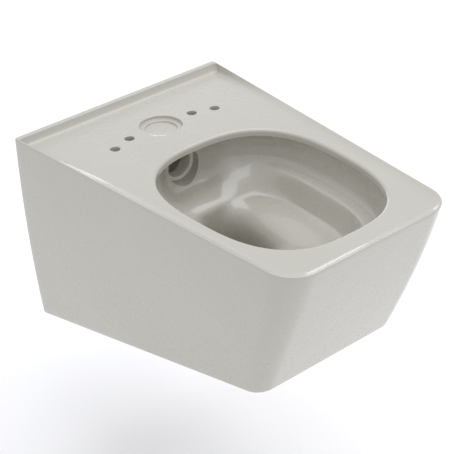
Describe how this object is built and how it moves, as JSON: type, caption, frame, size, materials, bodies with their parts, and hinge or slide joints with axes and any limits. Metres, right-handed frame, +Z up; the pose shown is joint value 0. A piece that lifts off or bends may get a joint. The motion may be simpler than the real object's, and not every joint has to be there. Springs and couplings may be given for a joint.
{
  "type": "wall hung toilet",
  "caption": "Wall hung toilet pan with a dished deck, an open rim bowl over a built-in trap, concealed wall clamps, and flush and waste pipes into the wall.",
  "frame": {"origin": "midway between the two wall studs, on the face of the finished wall", "axes": "+Y into the wall, so the front of the pan faces -Y; +Z up; +X to the right seen from the front"},
  "size_m": [0.363, 0.5736, 0.3057],
  "materials": {
    "glaze": "satin",
    "nozzle_plastic": "gloss",
    "seal_rubber": "matte",
    "flush_plastic": "satin",
    "waste_plastic": "matte",
    "housing_plastic": "satin",
    "zinc_steel": "zinc plated",
    "arm_steel": "zinc plated, cast",
    "clip_steel": "spring steel",
    "nut_brass": "satin"
  },
  "bodies": {
    "pan_on_wall": {"ceramic_pan": "glaze", "flush_nozzle": "nozzle_plastic", "flush_seal": "seal_rubber", "flush_pipe": "flush_plastic", "waste_seal": "seal_rubber", "waste_pipe": "waste_plastic", "wall_studs": "zinc_steel", "stud_washers": "zinc_steel", "left_carrier_arm": "arm_steel", "right_carrier_arm": "arm_steel", "left_arm_grommet": "seal_rubber", "right_arm_grommet": "seal_rubber", "left_clamp_housing": "housing_plastic", "right_clamp_housing": "housing_plastic"},
    "left_screw": {"left_clamp_screw": "zinc_steel", "left_screw_clip": "clip_steel"},
    "right_screw": {"right_clamp_screw": "zinc_steel", "right_screw_clip": "clip_steel"},
    "left_wedge": {"left_wedge_nut": "nut_brass"},
    "right_wedge": {"right_wedge_nut": "nut_brass"}
  },
  "joints": [
    {"name": "left_clamp_screw_turn", "type": "hinge", "parent": "pan_on_wall", "child": "left_screw", "pos_m": [-0.09, -0.108, 0.066], "axis": [0, 0, 1], "range_deg": [0, 3600]},
    {"name": "left_wedge_nut_slide", "type": "slide", "parent": "pan_on_wall", "child": "left_wedge", "axis": [0, 0, 1], "range_m": [0, 0.02]},
    {"name": "right_clamp_screw_turn", "type": "hinge", "parent": "pan_on_wall", "child": "right_screw", "pos_m": [0.09, -0.108, 0.066], "axis": [0, 0, 1], "range_deg": [0, 3600]},
    {"name": "right_wedge_nut_slide", "type": "slide", "parent": "pan_on_wall", "child": "right_wedge", "axis": [0, 0, 1], "range_m": [0, 0.02]}
  ],
  "couplings": [
    {"joint": "left_clamp_screw_turn", "follows": "left_wedge_nut_slide", "rad_per_m": 3141.6},
    {"joint": "right_clamp_screw_turn", "follows": "right_wedge_nut_slide", "rad_per_m": 3141.6}
  ]
}
